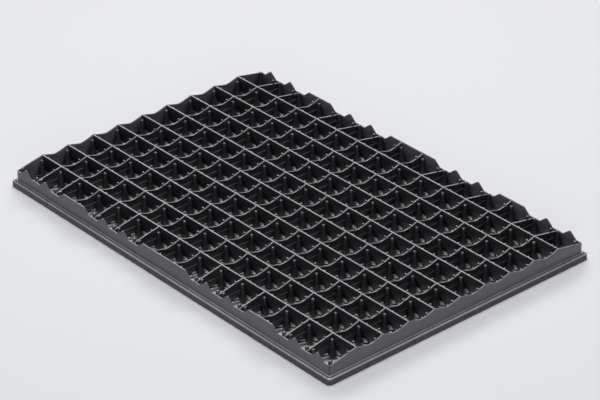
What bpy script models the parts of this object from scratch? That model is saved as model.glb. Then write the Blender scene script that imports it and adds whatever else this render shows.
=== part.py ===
"""Plug tray: a flat tray of open square cells for raising young plants.

Metres, +Z up. The origin is on the ground under the middle of the tray, +X runs along the
long side and +Y along the short side. The real tray is one thin moulding. Each of its
members is a solid of its own here: the walls between the cells, the bars of the floor grid,
the four skirts and the four lengths of stepped rim.
"""
import math

import bmesh
import bpy
from mathutils import Matrix, Vector

# Driving dimensions
PITCH = 0.0387                # from one cell wall to the next, both ways
COLUMNS = 15                  # cells along X
ROWS = 10                     # cells along Y
HEIGHT = 0.0286               # ground to the top of the walls
GAP = 0.0003                  # kept between members that meet

WALL = 0.0020                 # wall between two cells
SKIRT = 0.0016                # outer wall of the tray
DIP = 0.0050                  # dip in the top of a cross wall, at the middle of each cell
LOW_EDGE = 0.0077             # how far the notched parts of the long edges lie below the top
RAISED_LINES = (3, 7, 8, 12)  # cross walls whose ends meet the long skirts at full height

CROSS_WALL_FOOT = 0.0068      # lower edge of a cross wall above the ground
LONG_WALL_FOOT = 0.0088       # lower edge of a long wall above the ground

PEG_FOOT = 0.0057             # the pegs stand on the floor grid
PEG_TOP = 0.0242              # and end below the top of the walls
PEG_FOOT_REACH = 0.0049       # from the middle of a peg to its flat sides, at its foot
PEG_TOP_REACH = 0.0030        # and at its top
PEG_ASIDE_X = 0.00375         # from a wall crossing to the middle of a peg beside it
PEG_ASIDE_Y = 0.0044
NOTCH_FOOT = 0.0077           # half the width of the notch in a long wall, at its foot
NOTCH_TOP = 0.0045            # and at its top

BAR = 0.0054                  # width of a bar of the floor grid
BAR_THICKNESS = 0.0009
BAR_FOOT = 0.0033             # the floor grid hangs clear of the ground, on the skirts

RIM_OVERHANG = 0.0064         # how far the rim stands out from the middle of the skirt
RIM_STEP = 0.0023             # the upper, narrow ledge
RIM_LOW = 0.0070              # height of the lower ledge
RIM_HIGH = 0.0089             # height of the upper ledge
RIM_WALL = 0.0020             # wall of the rim
RIM_CHAMFER = 0.0030          # cut off each corner of the rim, along both sides

LENGTH = COLUMNS * PITCH
WIDTH = ROWS * PITCH

PLASTIC = {
    "wall": ((0.020, 0.020, 0.022), 0.45),
    "skirt": ((0.030, 0.029, 0.033), 0.50),
    "floor": ((0.015, 0.015, 0.016), 0.50),
    "rim": ((0.024, 0.024, 0.027), 0.50),
}


def clear_scene():
    for item in list(bpy.data.objects):
        bpy.data.objects.remove(item, do_unlink=True)


def new_collection(name):
    collection = bpy.data.collections.new(name)
    bpy.context.scene.collection.children.link(collection)
    return collection


def plastic(kind):
    name = "polypropylene_" + kind
    material = bpy.data.materials.get(name)
    if material is None:
        colour, roughness = PLASTIC[kind]
        material = bpy.data.materials.new(name)
        material.use_nodes = True
        shader = material.node_tree.nodes["Principled BSDF"]
        shader.inputs["Base Color"].default_value = (*colour, 1.0)
        shader.inputs["Roughness"].default_value = roughness
        shader.inputs["Metallic"].default_value = 0.0
    return material


def add_object(name, mesh, collection):
    item = bpy.data.objects.new(name, mesh)
    collection.objects.link(item)
    return item


def column_line(number):
    """Where cross wall number stands along X; 0 and COLUMNS are the short skirts."""
    return number * PITCH - LENGTH / 2


def row_line(number):
    """Where long wall number stands along Y; 0 and ROWS are the long skirts."""
    return number * PITCH - WIDTH / 2


def weld(mesh):
    shape = bmesh.new()
    shape.from_mesh(mesh)
    bmesh.ops.remove_doubles(shape, verts=shape.verts, dist=0.00002)
    shape.to_mesh(mesh)
    shape.free()


def plate(name, outline, thickness, placing):
    """A flat plate with this outline, as thick as given, moved to its place by a matrix."""
    curve = bpy.data.curves.new(name, "CURVE")
    curve.dimensions = "2D"
    curve.fill_mode = "BOTH"
    curve.extrude = thickness / 2
    edge = curve.splines.new("POLY")
    edge.points.add(len(outline) - 1)
    for point, (along, up) in zip(edge.points, outline):
        point.co = (along, up, 0, 1)
    edge.use_cyclic_u = True
    guide = add_object(name, curve, bpy.context.scene.collection)
    evaluated = guide.evaluated_get(bpy.context.evaluated_depsgraph_get())
    mesh = bpy.data.meshes.new_from_object(evaluated)
    bpy.data.objects.remove(guide, do_unlink=True)
    bpy.data.curves.remove(curve)
    weld(mesh)
    mesh.transform(placing)
    return mesh


def upright_along_x(y):
    """Outline (along, up) to a plate that stands along X at this y."""
    return Matrix.Translation((0, y, 0)) @ Matrix.Rotation(math.pi / 2, 4, "X")


def upright_along_y(x):
    """Outline (along, up) to a plate that stands along Y at this x."""
    turn = Matrix.Rotation(math.pi / 2, 4, "Z") @ Matrix.Rotation(math.pi / 2, 4, "X")
    return Matrix.Translation((x, 0, 0)) @ turn


def dip_points(start):
    """The top edge between two walls one pitch apart: half a V and half a sine wave."""
    points = []
    for share in (0.15, 0.32, 0.50, 0.68, 0.85):
        straight = 1 - abs(2 * share - 1)
        wave = math.sin(math.pi * share)
        points.append((start + share * PITCH, HEIGHT - DIP * (straight + wave) / 2))
    return points


def across_top(line, slot):
    """Top edge of a cross wall from low Y to high Y, with a slot for each long wall."""
    half_slot = WALL / 2 + GAP
    end = WIDTH / 2 - SKIRT / 2 - GAP
    raised = line in RAISED_LINES
    low = HEIGHT - LOW_EDGE
    points = [(-end, HEIGHT if raised else low)]
    for row in range(ROWS):
        at_end = row in (0, ROWS - 1)
        if raised or not at_end:
            points += dip_points(row_line(row))
        if row < ROWS - 1:
            middle = row_line(row + 1)
            points.append((middle - half_slot, HEIGHT))
            if slot:
                points.append((middle - half_slot, PEG_TOP))
                points.append((middle + half_slot, PEG_TOP))
            points.append((middle + half_slot, HEIGHT))
    points.append((end, HEIGHT if raised else low))
    return points


def peg(centre_x, centre_y, bounds):
    """One tapering eight-sided peg, sliced off at each bound (place, outward normal)."""
    shape = bmesh.new()
    depth = PEG_TOP - PEG_FOOT
    eighth = math.pi / 8
    place = Matrix.Translation((centre_x, centre_y, PEG_FOOT + depth / 2))
    bmesh.ops.create_cone(
        shape, cap_ends=True, segments=8, radius1=PEG_FOOT_REACH / math.cos(eighth),
        radius2=PEG_TOP_REACH / math.cos(eighth), depth=depth,
        matrix=place @ Matrix.Rotation(eighth, 4, "Z"),
    )
    for edge, normal in bounds:
        everything = shape.verts[:] + shape.edges[:] + shape.faces[:]
        bmesh.ops.bisect_plane(shape, geom=everything, plane_co=edge, plane_no=normal,
                               clear_outer=True)
        bmesh.ops.holes_fill(shape, edges=shape.edges)
    return shape


def pegs_beside(line, bounds=()):
    """The pegs of the wall on this column line, as one mesh of separate bodies.

    Every cell has two: one in its corner at low X and high Y, and one in the corner opposite.
    """
    x = column_line(line)
    inside = WIDTH / 2 - SKIRT / 2 - GAP
    long_skirts = [((0, side * inside, 0), (0, side, 0)) for side in (-1, 1)]
    together = bmesh.new()
    for row in range(ROWS):
        places = []
        if line > 0:
            places.append((x - PEG_ASIDE_X, row_line(row) + PEG_ASIDE_Y))
        if line < COLUMNS:
            places.append((x + PEG_ASIDE_X, row_line(row + 1) - PEG_ASIDE_Y))
        for centre_x, centre_y in places:
            shape = peg(centre_x, centre_y, long_skirts + list(bounds))
            single = bpy.data.meshes.new("peg")
            shape.to_mesh(single)
            shape.free()
            together.from_mesh(single)
            bpy.data.meshes.remove(single)
    mesh = bpy.data.meshes.new("pegs")
    together.to_mesh(mesh)
    together.free()
    return mesh


def combined(name, mesh, other_mesh, operation):
    """The union or the difference of two closed meshes, as one plain mesh."""
    first = add_object(name, mesh, bpy.context.scene.collection)
    second = add_object(name + "_tool", other_mesh, bpy.context.scene.collection)
    boolean = first.modifiers.new("boolean", "BOOLEAN")
    boolean.operation = operation
    boolean.solver = "EXACT"
    boolean.object = second
    evaluated = first.evaluated_get(bpy.context.evaluated_depsgraph_get())
    result = bpy.data.meshes.new_from_object(evaluated)
    bpy.data.objects.remove(first, do_unlink=True)
    bpy.data.objects.remove(second, do_unlink=True)
    weld(result)
    return result


def finish(name, mesh, kind, collection):
    mesh.materials.clear()
    mesh.materials.append(plastic(kind))
    return add_object(name, mesh, collection)


def cross_wall(line, collection):
    """A wall along Y with its pegs. The long walls drop into its slots from above."""
    x = column_line(line)
    end = WIDTH / 2 - SKIRT / 2 - GAP
    outline = [(end, CROSS_WALL_FOOT), (-end, CROSS_WALL_FOOT)] + across_top(line, True)
    panel = plate("panel", list(reversed(outline)), WALL, upright_along_y(x))
    mesh = combined("wall", panel, pegs_beside(line), "UNION")
    finish(f"cross_wall_{line:02d}", mesh, "wall", collection)


def long_wall(line, collection):
    """A wall along X with a level top and a notch from below over the pegs of each crossing."""
    end = LENGTH / 2 - SKIRT / 2 - GAP
    top_of_notch = PEG_TOP + GAP
    outline = [(-end, HEIGHT), (-end, top_of_notch)]
    for column in range(COLUMNS):
        left = column_line(column)
        right = column_line(column + 1)
        outline += [(left + NOTCH_TOP, top_of_notch), (left + NOTCH_FOOT, LONG_WALL_FOOT)]
        outline += [(right - NOTCH_FOOT, LONG_WALL_FOOT), (right - NOTCH_TOP, top_of_notch)]
    outline += [(end, top_of_notch), (end, HEIGHT)]
    mesh = plate("panel", outline, WALL, upright_along_x(row_line(line)))
    finish(f"long_wall_{line:02d}", mesh, "wall", collection)


def floor_bar(name, size, centre, collection):
    shape = bmesh.new()
    bmesh.ops.create_cube(shape, size=1, matrix=Matrix.Translation(centre) @ Matrix.Diagonal((*size, 1)))
    mesh = bpy.data.meshes.new(name)
    shape.to_mesh(mesh)
    shape.free()
    finish(name, mesh, "floor", collection)


def floor_grid(collection):
    """The bars along X lie lowest, and the bars along Y lie on them."""
    inside = SKIRT + 2 * GAP
    low = BAR_FOOT + BAR_THICKNESS / 2
    high = BAR_FOOT + 1.5 * BAR_THICKNESS + GAP
    for line in range(1, ROWS):
        size = (LENGTH - inside, BAR, BAR_THICKNESS)
        floor_bar(f"floor_bar_long_{line:02d}", size, (0, row_line(line), low), collection)
    for line in range(1, COLUMNS):
        size = (BAR, WIDTH - inside, BAR_THICKNESS)
        floor_bar(f"floor_bar_cross_{line:02d}", size, (column_line(line), 0, high), collection)


def long_skirt_top():
    """Top edge of a long skirt, low X to high X: teeth, low stretches and raised ones."""
    low = HEIGHT - LOW_EDGE
    points = []
    for column in range(COLUMNS):
        start = column_line(column)
        rises = column not in RAISED_LINES
        falls = column + 1 not in RAISED_LINES
        if rises:
            points.append((start + 0.22 * PITCH, low))
            points.append((start + 0.47 * PITCH, HEIGHT))
        if falls:
            points.append((start + 0.53 * PITCH, HEIGHT))
            points.append((start + 0.78 * PITCH, low))
    return points


def long_skirt(name, y, collection):
    end = LENGTH / 2 + SKIRT / 2
    low = HEIGHT - LOW_EDGE
    outline = [(end, low), (end, 0), (-end, 0), (-end, low)] + long_skirt_top()
    mesh = plate("skirt", list(reversed(outline)), SKIRT, upright_along_x(y))
    finish(name, mesh, "skirt", collection)


def short_skirt(name, side, collection):
    """A skirt along Y with the pegs of the outermost cells."""
    x = side * LENGTH / 2
    end = WIDTH / 2 - SKIRT / 2 - GAP
    outline = [(end, 0), (-end, 0)] + across_top(0, False)
    panel = plate("skirt", list(reversed(outline)), SKIRT, upright_along_y(x))
    line = COLUMNS if side > 0 else 0
    pegs = pegs_beside(line, [((x, 0, 0), (side, 0, 0))])
    mesh = combined("skirt", panel, pegs, "UNION")
    finish(name, mesh, "skirt", collection)


def corner_cutter(half_length, distance, side):
    """A block that cuts the outer corner of the rim off at 45 degrees."""
    reach = RIM_OVERHANG * math.sqrt(2) - RIM_CHAMFER / math.sqrt(2)
    size = 4 * RIM_OVERHANG
    corner = Vector((side * half_length, -distance, 0))
    outward = Vector((side, -1, 0)).normalized()
    centre = corner + outward * (reach + size / 2)
    turn = Matrix.Rotation(math.radians(45), 4, "Z")
    shape = bmesh.new()
    bmesh.ops.create_cube(shape, size=size, matrix=Matrix.Translation(centre) @ turn)
    mesh = bpy.data.meshes.new("corner_cutter")
    shape.to_mesh(mesh)
    shape.free()
    return mesh


def rim_rail(name, half_length, distance, turn, collection):
    """One side of the rim: a stepped channel, open below, mitred at both ends."""
    face = SKIRT / 2 + GAP
    section = [
        (RIM_OVERHANG, 0),
        (RIM_OVERHANG, RIM_LOW),
        (SKIRT / 2 + RIM_STEP, RIM_LOW),
        (SKIRT / 2 + RIM_STEP, RIM_HIGH),
        (face, RIM_HIGH),
        (face, RIM_LOW - RIM_WALL),
        (RIM_OVERHANG - RIM_WALL, RIM_LOW - RIM_WALL),
        (RIM_OVERHANG - RIM_WALL, 0),
    ]
    mitre_gap = GAP * math.sqrt(0.5)
    shape = bmesh.new()
    ends = []
    for side in (-1, 1):
        ring = []
        for out, up in section:
            along = side * (half_length + out - mitre_gap)
            ring.append(shape.verts.new((along, -distance - out, up)))
        ends.append(ring)
    low_end, high_end = ends
    for number in range(len(section)):
        after = (number + 1) % len(section)
        shape.faces.new((low_end[number], low_end[after], high_end[after], high_end[number]))
    shape.faces.new(list(reversed(low_end)))
    shape.faces.new(high_end)
    bmesh.ops.recalc_face_normals(shape, faces=shape.faces)
    mesh = bpy.data.meshes.new(name)
    shape.to_mesh(mesh)
    shape.free()
    for side in (-1, 1):
        mesh = combined(name, mesh, corner_cutter(half_length, distance, side), "DIFFERENCE")
    mesh.transform(Matrix.Rotation(turn, 4, "Z"))
    finish(name, mesh, "rim", collection)


def build():
    clear_scene()
    tray = new_collection("plug_tray")
    for line in range(1, COLUMNS):
        cross_wall(line, tray)
    for line in range(1, ROWS):
        long_wall(line, tray)
    floor_grid(tray)
    long_skirt("front_skirt", -WIDTH / 2, tray)
    long_skirt("rear_skirt", WIDTH / 2, tray)
    short_skirt("left_skirt", -1, tray)
    short_skirt("right_skirt", 1, tray)
    quarter = math.pi / 2
    rim_rail("front_rim", LENGTH / 2, WIDTH / 2, 0, tray)
    rim_rail("right_rim", WIDTH / 2, LENGTH / 2, quarter, tray)
    rim_rail("rear_rim", LENGTH / 2, WIDTH / 2, 2 * quarter, tray)
    rim_rail("left_rim", WIDTH / 2, LENGTH / 2, 3 * quarter, tray)


build()
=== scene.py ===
import math

import bmesh
import bpy
from mathutils import Matrix, Vector


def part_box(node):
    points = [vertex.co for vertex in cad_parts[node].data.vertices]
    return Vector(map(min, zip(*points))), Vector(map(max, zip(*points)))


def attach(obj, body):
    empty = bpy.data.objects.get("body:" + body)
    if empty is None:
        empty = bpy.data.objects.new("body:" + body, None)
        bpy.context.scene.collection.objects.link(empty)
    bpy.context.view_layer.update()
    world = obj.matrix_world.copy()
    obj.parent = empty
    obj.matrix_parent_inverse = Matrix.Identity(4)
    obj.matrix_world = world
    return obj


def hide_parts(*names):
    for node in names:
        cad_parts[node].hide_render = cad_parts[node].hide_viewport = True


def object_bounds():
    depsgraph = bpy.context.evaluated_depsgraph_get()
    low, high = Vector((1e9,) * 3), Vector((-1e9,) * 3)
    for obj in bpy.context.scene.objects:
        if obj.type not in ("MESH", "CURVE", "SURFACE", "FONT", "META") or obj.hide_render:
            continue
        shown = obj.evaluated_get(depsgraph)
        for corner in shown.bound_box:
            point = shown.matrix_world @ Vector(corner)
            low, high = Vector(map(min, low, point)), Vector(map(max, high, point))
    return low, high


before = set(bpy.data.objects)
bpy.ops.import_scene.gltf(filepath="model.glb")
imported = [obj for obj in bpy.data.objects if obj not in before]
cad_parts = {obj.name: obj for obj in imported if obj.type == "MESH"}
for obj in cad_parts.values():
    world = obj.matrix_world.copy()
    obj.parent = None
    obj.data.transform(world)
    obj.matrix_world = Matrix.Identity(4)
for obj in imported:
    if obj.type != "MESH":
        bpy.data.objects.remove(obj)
cad_low, cad_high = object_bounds()

# Camera: a long lens from the front right, thirty degrees above the bench and about one degree
# off level. The lens shift moves the tray a hair to the right and down in the view.
CAMERA_PLACE = Vector((2.227447, -1.850809, 1.699965))
CAMERA_AZIMUTH = math.radians(50.0812)
CAMERA_ELEVATION = math.radians(29.9996)
CAMERA_ROLL = math.radians(-1.0836)
LENS_MM = 168.929

camera_data = bpy.data.cameras.new("camera")
camera_data.lens = LENS_MM
camera_data.sensor_width = 36
camera_data.shift_x = -0.000833
camera_data.shift_y = 0.000833
camera = bpy.data.objects.new("camera", camera_data)
bpy.context.scene.collection.objects.link(camera)
turn = Matrix.Rotation(CAMERA_AZIMUTH, 4, "Z")
tilt = Matrix.Rotation(math.pi / 2 - CAMERA_ELEVATION, 4, "X")
roll = Matrix.Rotation(CAMERA_ROLL, 4, "Z")
camera.matrix_world = Matrix.Translation(CAMERA_PLACE) @ turn @ tilt @ roll
bpy.context.scene.camera = camera


def linear(hex_colour):
    """An sRGB hex colour as linear red, green, blue and full alpha."""
    values = [int(hex_colour[start:start + 2], 16) / 255 for start in (1, 3, 5)]
    return tuple(v / 12.92 if v <= 0.04045 else ((v + 0.055) / 1.055) ** 2.4 for v in values) + (1,)


def node(tree, kind, settings=None, **inputs):
    """Add a node, with its settings, and with inputs that are values or other sockets."""
    made = tree.nodes.new(kind)
    for name, value in (settings or {}).items():
        setattr(made, name, value)
    for name, value in inputs.items():
        socket = made.inputs[int(name[1:])] if name[0] == "_" else made.inputs[name.replace("_", " ")]
        if isinstance(value, bpy.types.NodeSocket):
            tree.links.new(value, socket)
        else:
            socket.default_value = value
    return made


# Bench and light: a matt white table top and five soft boxes. One straight above lights the
# ground through the cells, a faint one on the left and one at the rear light the ledges, a wide
# one far behind lights the level tops of the walls, and a low one in front fills the skirts.
FLOOR_WHITE = "#dcdddf"
ROOM_WHITE = "#e6e8ee"
ROOM_STRENGTH = 0.12
BENCH_GAP = 0.0002

bench_mesh = bpy.data.meshes.new("bench")
shape = bmesh.new()
bmesh.ops.create_grid(shape, x_segments=1, y_segments=1, size=12)
shape.to_mesh(bench_mesh)
shape.free()
bench = bpy.data.objects.new("bench", bench_mesh)
bpy.context.scene.collection.objects.link(bench)
bench.location.z = cad_low[2] - BENCH_GAP

paper = bpy.data.materials.new("matt_paper")
paper.use_nodes = True
paper_shader = paper.node_tree.nodes["Principled BSDF"]
paper_shader.inputs["Base Color"].default_value = linear(FLOOR_WHITE)
paper_shader.inputs["Roughness"].default_value = 0.9
paper_shader.inputs["Specular IOR Level"].default_value = 0.1
bench_mesh.materials.append(paper)

world = bpy.data.worlds.new("pale_room")
world.use_nodes = True
background = world.node_tree.nodes["Background"]
background.inputs["Color"].default_value = linear(ROOM_WHITE)
background.inputs["Strength"].default_value = ROOM_STRENGTH
bpy.context.scene.world = world
bpy.context.scene.view_settings.view_transform = "Standard"


def soft_box(name, place, size, power):
    """A rectangular area light that faces the middle of the tray."""
    data = bpy.data.lights.new(name, "AREA")
    data.shape = "RECTANGLE"
    data.size, data.size_y = size
    data.energy = power
    lamp = bpy.data.objects.new(name, data)
    bpy.context.scene.collection.objects.link(lamp)
    lamp.location = place
    lamp.rotation_euler = (-Vector(place)).to_track_quat("-Z", "Y").to_euler()


soft_box("over_box", (-0.1, 0.1, 2.6), (1.2, 1.2), 41)
soft_box("left_box", (-1.73, -0.09, 1.94), (0.9, 0.9), 6)
soft_box("rear_box", (-0.08, 1.45, 2.16), (0.9, 0.9), 6)
soft_box("back_box", (-6.2, 5.1, 5.1), (6.7, 2.1), 470)
soft_box("front_box", (2.6, -2.2, 0.55), (2.4, 1.0), 45)

# Sizes that the whole moulding shares, read from the frame: where its walls stand, how far
# apart they are and how high they reach.
COLUMNS = 15
ROWS = 10
first_cross = [sum(pair) / 2 for pair in zip(*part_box("cross_wall_01"))]
second_cross = [sum(pair) / 2 for pair in zip(*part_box("cross_wall_02"))]
PITCH = second_cross[0] - first_cross[0]
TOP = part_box("long_wall_01")[1][2]
LENGTH = COLUMNS * PITCH
WIDTH = ROWS * PITCH


def line_x(number):
    """Where cross wall number stands along X; 0 and COLUMNS are the short skirts."""
    return number * PITCH - LENGTH / 2


def line_y(number):
    """Where long wall number stands along Y; 0 and ROWS are the long skirts."""
    return number * PITCH - WIDTH / 2


# Black polypropylene, injection moulded against a finely grained steel mould. It is a deep black
# with a soft grey sheen, faintly mottled, and a paler painted highlight on the faces that point up.
GRAIN_MM = 0.6
GRAIN_BUMP = 0.05
ROUGHNESS_SPREAD = 0.04


def black_polypropylene(name, colours, painted_highlight, roughness):
    """Mottled between two colours, with a third, a painted highlight, on whatever faces up."""
    material = bpy.data.materials.new(name)
    material.use_nodes = True
    tree = material.node_tree
    shader = tree.nodes["Principled BSDF"]
    place = node(tree, "ShaderNodeTexCoord").outputs["Object"]
    grain = node(tree, "ShaderNodeTexNoise", Vector=place, Scale=1000 / GRAIN_MM, Detail=3.0)
    cloud = node(tree, "ShaderNodeTexNoise", Vector=place, Scale=22.0, Detail=2.0)
    tint = node(tree, "ShaderNodeMix", {"data_type": "RGBA"}, _0=cloud.outputs["Fac"])
    tint.inputs[6].default_value = linear(colours[0])
    tint.inputs[7].default_value = linear(colours[1])
    facing = node(tree, "ShaderNodeNewGeometry").outputs["Normal"]
    upward = node(tree, "ShaderNodeSeparateXYZ", Vector=facing).outputs["Z"]
    highlight_mask = node(tree, "ShaderNodeMapRange", Value=upward, From_Min=0.70, From_Max=0.88)
    colour_and_highlight = node(tree, "ShaderNodeMix", {"data_type": "RGBA"}, _0=highlight_mask.outputs["Result"])
    tree.links.new(tint.outputs[2], colour_and_highlight.inputs[6])
    colour_and_highlight.inputs[7].default_value = linear(painted_highlight)
    rough = node(
        tree, "ShaderNodeMapRange", Value=cloud.outputs["Fac"], From_Min=0.3, From_Max=0.7,
        To_Min=roughness - ROUGHNESS_SPREAD, To_Max=roughness + ROUGHNESS_SPREAD,
    )
    relief = node(tree, "ShaderNodeBump", Height=grain.outputs["Fac"], Strength=GRAIN_BUMP, Distance=0.0002)
    tree.links.new(colour_and_highlight.outputs[2], shader.inputs["Base Color"])
    tree.links.new(rough.outputs["Result"], shader.inputs["Roughness"])
    tree.links.new(relief.outputs["Normal"], shader.inputs["Normal"])
    shader.inputs["IOR"].default_value = 1.49
    return material


# The third colour of each material is a painted highlight that shows on faces pointing up.
wall_plastic = black_polypropylene("polypropylene_walls", ("#27262a", "#2d2c31"), "#67666b", 0.31)
# The skirt and rim base colours are paler than the walls' of the same moulding: painted light from the
# lamps that face them.
skirt_plastic_painted_lit = black_polypropylene("polypropylene_skirts_painted_lit", ("#545059", "#5b5760"), "#67666b", 0.36)
rim_plastic_painted_lit = black_polypropylene("polypropylene_rim_painted_lit", ("#333037", "#3a373f"), "#929095", 0.30)
floor_plastic = black_polypropylene("polypropylene_floor", ("#1c1c1e", "#232325"), "#28282a", 0.36)
peg_plastic = black_polypropylene("polypropylene_pegs", ("#2b2a2e", "#323135"), "#8a898e", 0.33)


# Making the pieces: plates cut to an outline and rounded over, stood upright along X or Y, and
# joined into one moulded piece. Corners nearer to each other than TOUCHING become one.
TOUCHING = 0.00001


def weld(mesh):
    shape = bmesh.new()
    shape.from_mesh(mesh)
    bmesh.ops.remove_doubles(shape, verts=shape.verts, dist=TOUCHING)
    shape.to_mesh(mesh)
    shape.free()


def rounded_plate(outline, thickness, rounding, placing):
    """A plate with this outline and thickness, all of whose edges are rounded over."""
    curve = bpy.data.curves.new("outline", "CURVE")
    curve.dimensions = "2D"
    curve.fill_mode = "BOTH"
    curve.extrude = thickness / 2 - rounding
    curve.bevel_depth = rounding
    curve.bevel_resolution = 1
    curve.offset = -rounding
    edge = curve.splines.new("POLY")
    edge.points.add(len(outline) - 1)
    for point, (along, up) in zip(edge.points, outline):
        point.co = (along, up, 0, 1)
    edge.use_cyclic_u = True
    guide = bpy.data.objects.new("outline", curve)
    bpy.context.scene.collection.objects.link(guide)
    evaluated = guide.evaluated_get(bpy.context.evaluated_depsgraph_get())
    mesh = bpy.data.meshes.new_from_object(evaluated)
    bpy.data.objects.remove(guide, do_unlink=True)
    bpy.data.curves.remove(curve)
    weld(mesh)
    mesh.transform(placing)
    return mesh


def upright_along_x(y):
    """Outline (along, up) to a plate that stands along X at this y."""
    return Matrix.Translation((0, y, 0)) @ Matrix.Rotation(math.pi / 2, 4, "X")


def upright_along_y(x):
    """Outline (along, up) to a plate that stands along Y at this x."""
    quarter = Matrix.Rotation(math.pi / 2, 4, "Z")
    return Matrix.Translation((x, 0, 0)) @ quarter @ Matrix.Rotation(math.pi / 2, 4, "X")


def moulding(name, meshes, material, replaced, sharp=35):
    """One piece of the tray from one or more closed meshes, smooth apart from its sharp edges."""
    together = bmesh.new()
    for mesh in meshes:
        together.from_mesh(mesh)
        bpy.data.meshes.remove(mesh)
    joined = bpy.data.meshes.new(name)
    together.to_mesh(joined)
    together.free()
    joined.shade_smooth()
    joined.set_sharp_from_angle(angle=math.radians(sharp))
    joined.materials.clear()
    joined.materials.append(material)
    piece = bpy.data.objects.new(name, joined)
    bpy.context.scene.collection.objects.link(piece)
    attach(piece, "root")
    if replaced:
        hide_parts(*replaced)
    return piece


# Cross walls: the walls along the short side. Their top edge dips softly in the middle of
# each cell, and a narrow ledge runs along both faces, below which the wall is thicker.
WALL = 0.0021
WALL_BELOW_LEDGE = 0.0040
EDGE_ROUND = 0.00045
LEDGE_ROUND = 0.0009
DIP = 0.0050
DIP_SHARES = (0.02, 0.10, 0.20, 0.30, 0.40, 0.46, 0.50, 0.54, 0.60, 0.70, 0.80, 0.90, 0.98)
LOW_TOP = TOP - 0.0077
CROSS_FOOT = 0.0065
LEDGE = TOP - 0.0134
RAISED_LINES = (3, 7, 8, 12)


def dip_points(start):
    """The top edge over one cell: half a V and half a sine wave."""
    points = []
    for share in DIP_SHARES:
        straight = 1 - abs(2 * share - 1)
        wave = math.sin(math.pi * share)
        points.append((start + share * PITCH, TOP - DIP * (straight + wave) / 2))
    return points


def cross_wall_top(raised, end):
    """The top edge from end to end; it drops to the low tops of the long skirts unless raised."""
    edge = TOP if raised else LOW_TOP
    points = [(-end, edge)]
    if not raised:
        points.append((line_y(1), TOP))
    for row in range(ROWS):
        if raised or 0 < row < ROWS - 1:
            points += dip_points(line_y(row))
    if not raised:
        points.append((line_y(ROWS - 1), TOP))
    points.append((end, edge))
    return points


for number in range(1, COLUMNS):
    cad_name = f"cross_wall_{number:02d}"
    end = WIDTH / 2
    outline = [(end, CROSS_FOOT), (-end, CROSS_FOOT)] + cross_wall_top(number in RAISED_LINES, end)
    upper = rounded_plate(list(reversed(outline)), WALL, EDGE_ROUND, upright_along_y(line_x(number)))
    below = [(-end, CROSS_FOOT), (end, CROSS_FOOT), (end, LEDGE), (-end, LEDGE)]
    lower = rounded_plate(below, WALL_BELOW_LEDGE, LEDGE_ROUND, upright_along_y(line_x(number)))
    moulding(f"moulded_{cad_name}", [upper, lower], wall_plastic, [cad_name])

# Long walls: the walls along the long side, level along their top. They end higher above the
# ground than the cross walls, so that light comes in under them.
LONG_FOOT = 0.0088
for number in range(1, ROWS):
    cad_name = f"long_wall_{number:02d}"
    end = LENGTH / 2
    outline = [(-end, LONG_FOOT), (end, LONG_FOOT), (end, TOP), (-end, TOP)]
    wall = rounded_plate(outline, WALL, EDGE_ROUND, upright_along_x(line_y(number)))
    moulding(f"moulded_{cad_name}", [wall], wall_plastic, [cad_name])

# Skirts: the outer walls of the tray. The long ones are cut down between small teeth, one to a
# cell, and stay high at the raised lines. The short ones dip like the cross walls. A narrow
# upright groove is left open between them at each corner.
SKIRT = 0.0018
SKIRT_FOOT = 0.001
CORNER_GROOVE = 0.0007
TOOTH_RISE = (0.22 * PITCH, 0.47 * PITCH)
TOOTH_FALL = (0.53 * PITCH, 0.76 * PITCH)


def long_skirt_top():
    """The top edge of a long skirt, with one tooth in the middle of each cell."""
    points = []
    for column in range(COLUMNS):
        start = line_x(column)
        if column not in RAISED_LINES:
            points += [(start + TOOTH_RISE[0], LOW_TOP), (start + TOOTH_RISE[1], TOP)]
        if column + 1 not in RAISED_LINES:
            points += [(start + TOOTH_FALL[0], TOP), (start + TOOTH_FALL[1], LOW_TOP)]
    return points


for cad_name, y in (("front_skirt", -WIDTH / 2), ("rear_skirt", WIDTH / 2)):
    end = LENGTH / 2 - CORNER_GROOVE
    sides = [(end, LOW_TOP), (end, SKIRT_FOOT), (-end, SKIRT_FOOT), (-end, LOW_TOP)]
    outline = sides + long_skirt_top()
    skirt = rounded_plate(list(reversed(outline)), SKIRT, EDGE_ROUND, upright_along_x(y))
    moulding(f"moulded_{cad_name}", [skirt], skirt_plastic_painted_lit, [cad_name])

for cad_name, x in (("left_skirt", -LENGTH / 2), ("right_skirt", LENGTH / 2)):
    end = WIDTH / 2 - CORNER_GROOVE
    outline = [(end, SKIRT_FOOT), (-end, SKIRT_FOOT)] + cross_wall_top(False, end)
    skirt = rounded_plate(list(reversed(outline)), SKIRT, EDGE_ROUND, upright_along_y(x))
    moulding(f"moulded_{cad_name}", [skirt], skirt_plastic_painted_lit, [cad_name])

# Rim: a stepped channel round the foot of the skirts, open below, with cut corners. Both of
# its ledges slope outward, with a groove between them, and each shows as a pale line, partly
# a reflection of the lamps and partly a painted highlight.
OVERHANG = -WIDTH / 2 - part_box("front_rim")[0][1]
RIM_LOW = 0.0070
RIM_HIGH = 0.0089
RIM_STEP = 0.0032
RIM_WALL = 0.0018
RIM_CHAMFER = 0.0036


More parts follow.
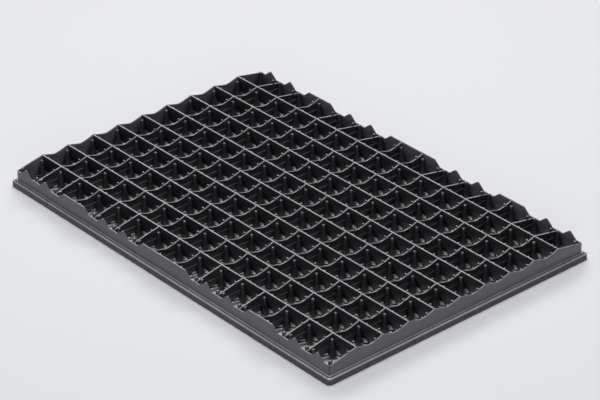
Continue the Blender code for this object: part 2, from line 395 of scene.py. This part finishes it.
def rim_mesh():
    """The rim's section swept round the tray, with a short cut across each corner."""
    inner = OVERHANG - RIM_WALL
    below = RIM_LOW - RIM_WALL
    section = [
        (OVERHANG, 0.0),
        (OVERHANG, RIM_LOW - 0.0014),
        (OVERHANG - 0.0002, RIM_LOW - 0.0009),
        (OVERHANG - 0.0007, RIM_LOW - 0.0005),
        (RIM_STEP + 0.0005, RIM_LOW + 0.0005),
        (RIM_STEP, RIM_LOW + 0.0002),
        (RIM_STEP - 0.0001, RIM_HIGH - 0.0009),
        (RIM_STEP - 0.0004, RIM_HIGH - 0.0006),
        (RIM_STEP - 0.0015, RIM_HIGH - 0.00005),
        (0.0, RIM_HIGH),
        (0.0, below),
        (inner, below),
        (inner, 0.0),
    ]
    shape = bmesh.new()
    rings = []
    for corner_x, corner_y in ((-1, -1), (1, -1), (1, 1), (-1, 1)):
        for first in (True, False):
            ring = []
            for out, up in section:
                cut = min(RIM_CHAMFER, out) * (out / OVERHANG)
                goes_x = (corner_x * corner_y > 0) == first
                x = corner_x * (LENGTH / 2 + out - (0 if goes_x else cut))
                y = corner_y * (WIDTH / 2 + out - (cut if goes_x else 0))
                ring.append(shape.verts.new((x, y, up)))
            rings.append(ring)
    for ring, after in zip(rings, rings[1:] + rings[:1]):
        for number in range(len(section)):
            other = (number + 1) % len(section)
            shape.faces.new((ring[number], ring[other], after[other], after[number]))
    bmesh.ops.remove_doubles(shape, verts=shape.verts, dist=TOUCHING)
    bmesh.ops.recalc_face_normals(shape, faces=shape.faces)
    mesh = bpy.data.meshes.new("rim")
    shape.to_mesh(mesh)
    shape.free()
    return mesh


rim_nodes = [f"{side}_rim" for side in ("front", "right", "rear", "left")]
moulding("moulded_rim", [rim_mesh()], rim_plastic_painted_lit, rim_nodes)


# Repeats: geometry nodes set copies of one small mesh out on a grid, one to each cell.
def one_to_each_cell(name, source, material, shift=(0, 0, 0), merge=TOUCHING):
    """Copies of a mesh round the middle of every cell, moved by a shift, as one plain mesh."""
    pattern = bpy.data.objects.new(name + "_pattern", source)
    holder = bpy.data.objects.new(name + "_holder", bpy.data.meshes.new(name + "_holder"))
    for item in (pattern, holder):
        bpy.context.scene.collection.objects.link(item)
    tree = bpy.data.node_groups.new(name + "_grid", "GeometryNodeTree")
    face = tree.interface
    face.new_socket("Geometry", in_out="INPUT", socket_type="NodeSocketGeometry")
    sizes = {"Pitch": PITCH, "Shift X": shift[0], "Shift Y": shift[1], "Height": shift[2], "Merge": merge}
    sockets = {}
    for label in sizes:
        sockets[label] = face.new_socket(label, in_out="INPUT", socket_type="NodeSocketFloat")
    face.new_socket("Geometry", in_out="OUTPUT", socket_type="NodeSocketGeometry")
    given = node(tree, "NodeGroupInput").outputs
    times = {"operation": "MULTIPLY"}
    wide = node(tree, "ShaderNodeMath", times, _0=given["Pitch"], _1=COLUMNS - 1.0)
    deep = node(tree, "ShaderNodeMath", times, _0=given["Pitch"], _1=ROWS - 1.0)
    grid = node(
        tree, "GeometryNodeMeshGrid", Size_X=wide.outputs[0], Size_Y=deep.outputs[0],
        Vertices_X=COLUMNS, Vertices_Y=ROWS,
    )
    offset = node(tree, "ShaderNodeCombineXYZ", X=given["Shift X"], Y=given["Shift Y"], Z=given["Height"])
    moved = node(tree, "GeometryNodeSetPosition", Geometry=grid.outputs["Mesh"], Offset=offset.outputs[0])
    info = node(tree, "GeometryNodeObjectInfo", Object=pattern)
    copies = node(
        tree, "GeometryNodeInstanceOnPoints", Points=moved.outputs[0], Instance=info.outputs["Geometry"],
    )
    real = node(tree, "GeometryNodeRealizeInstances", Geometry=copies.outputs[0])
    merged = node(tree, "GeometryNodeMergeByDistance", Geometry=real.outputs[0], Distance=given["Merge"])
    dressed = node(tree, "GeometryNodeSetMaterial", Geometry=merged.outputs[0], Material=material)
    node(tree, "NodeGroupOutput", Geometry=dressed.outputs[0])
    modifier = holder.modifiers.new(name, "NODES")
    modifier.node_group = tree
    for label, value in sizes.items():
        modifier[sockets[label].identifier] = float(value)
    evaluated = holder.evaluated_get(bpy.context.evaluated_depsgraph_get())
    mesh = bpy.data.meshes.new_from_object(evaluated)
    holder.modifiers.remove(modifier)
    bpy.data.objects.remove(holder, do_unlink=True)
    bpy.data.objects.remove(pattern, do_unlink=True)
    return mesh


# Floor: a thin flat ring under each cell, held clear of the ground. Neighbouring rings meet halfway
# along the walls, and a star-shaped hole is left open under each wall crossing.
RING_INNER = 0.0177
RING_OUTER = 0.0196
RING_SIDES = 24
RING_TOP = 0.0053
RING_THICKNESS = 0.0009
RING_JOIN = 0.00005
TOWARD_A_WALL = 0.99


def ring_surface():
    """One ring as a flat open surface, stretched a little to meet its neighbours."""
    shape = bmesh.new()
    inner = []
    outer = []
    for step in range(RING_SIDES):
        angle = (step + 0.5) * math.tau / RING_SIDES
        c, s = math.cos(angle), math.sin(angle)
        along = max(abs(c), abs(s))
        reach = PITCH / 2 / along if along > TOWARD_A_WALL else RING_OUTER
        inner.append(shape.verts.new((RING_INNER * c, RING_INNER * s, 0)))
        outer.append(shape.verts.new((reach * c, reach * s, 0)))
    for step in range(RING_SIDES):
        after = (step + 1) % RING_SIDES
        shape.faces.new((inner[step], outer[step], outer[after], inner[after]))
    mesh = bpy.data.meshes.new("ring")
    shape.to_mesh(mesh)
    shape.free()
    return mesh


floor_mesh = one_to_each_cell("floor", ring_surface(), floor_plastic, (0, 0, RING_TOP), RING_JOIN)
floor_nodes = [f"floor_bar_long_{n:02d}" for n in range(1, ROWS)]
floor_nodes += [f"floor_bar_cross_{n:02d}" for n in range(1, COLUMNS)]
floor_piece = moulding("moulded_floor_rings", [floor_mesh], floor_plastic, floor_nodes)
solid = floor_piece.modifiers.new("thickness", "SOLIDIFY")
solid.thickness = RING_THICKNESS
solid.offset = -1

# Corner pegs: two bottle-shaped pegs in opposite corners of each cell, each with a round head,
# a thin neck and a foot that flares out on to the floor ring. The profile is (radius, height).
PEG_ASIDE_X = 0.00375
PEG_ASIDE_Y = 0.0044
PEG_SIDES = 8
PEG_PROFILE = (
    (0.0056, 0.0036), (0.0051, 0.0080), (0.0040, 0.0125), (0.0029, 0.0160),
    (0.0025, 0.0200), (0.00265, 0.0219), (0.0019, 0.0237), (0.0, 0.0243),
)


def peg_mesh():
    """The peg's outline turned round its axis."""
    shape = bmesh.new()
    rings = []
    for radius, height in PEG_PROFILE[:-1]:
        ring = []
        for step in range(PEG_SIDES):
            angle = (step + 0.5) * math.tau / PEG_SIDES
            ring.append(shape.verts.new((radius * math.cos(angle), radius * math.sin(angle), height)))
        rings.append(ring)
    tip = shape.verts.new((0, 0, PEG_PROFILE[-1][1]))
    for step in range(PEG_SIDES):
        after = (step + 1) % PEG_SIDES
        for ring, above in zip(rings, rings[1:]):
            shape.faces.new((ring[step], ring[after], above[after], above[step]))
        shape.faces.new((rings[-1][step], rings[-1][after], tip))
    shape.faces.new(list(reversed(rings[0])))
    mesh = bpy.data.meshes.new("peg")
    shape.to_mesh(mesh)
    shape.free()
    return mesh


aside = (PITCH / 2 - PEG_ASIDE_X, PITCH / 2 - PEG_ASIDE_Y)
far_left = one_to_each_cell("far_pegs", peg_mesh(), peg_plastic, (-aside[0], aside[1], 0))
near_right = one_to_each_cell("near_pegs", peg_mesh(), peg_plastic, (aside[0], -aside[1], 0))
moulding("corner_pegs", [far_left, near_right], peg_plastic, [], sharp=60)

# Wall ribs: a small upright rib on the back of each long wall and on the left of each cross
# wall, so two to a cell. They reach almost to the level top, above the dips.
RIB_WIDTH = 0.0012
RIB_FOOT = 0.0100
RIB_ALONG = 0.22 * PITCH
LONG_WALL_RIB = (0.0025, TOP - 0.0002)
CROSS_WALL_RIB = (0.0021, TOP - 0.0014)


def cell_ribs():
    """The two ribs of one cell, each rooted in the middle of its wall: (reach, top) for each."""
    shape = bmesh.new()
    along = Matrix.Identity(4)
    across = Matrix.Rotation(math.pi / 2, 4, "Z") @ Matrix.Scale(-1, 4, (1, 0, 0))
    for turned, (reach, top) in ((along, LONG_WALL_RIB), (across, CROSS_WALL_RIB)):
        size = Matrix.Diagonal((RIB_WIDTH, reach, top - RIB_FOOT, 1))
        place = Matrix.Translation((-RIB_ALONG, reach / 2 - PITCH / 2, (RIB_FOOT + top) / 2))
        bmesh.ops.create_cube(shape, size=1, matrix=turned @ place @ size)
    bmesh.ops.recalc_face_normals(shape, faces=shape.faces)
    mesh = bpy.data.meshes.new("cell_ribs")
    shape.to_mesh(mesh)
    shape.free()
    return mesh


ribs = one_to_each_cell("ribs", cell_ribs(), wall_plastic)
moulding("wall_ribs", [ribs], wall_plastic, [])
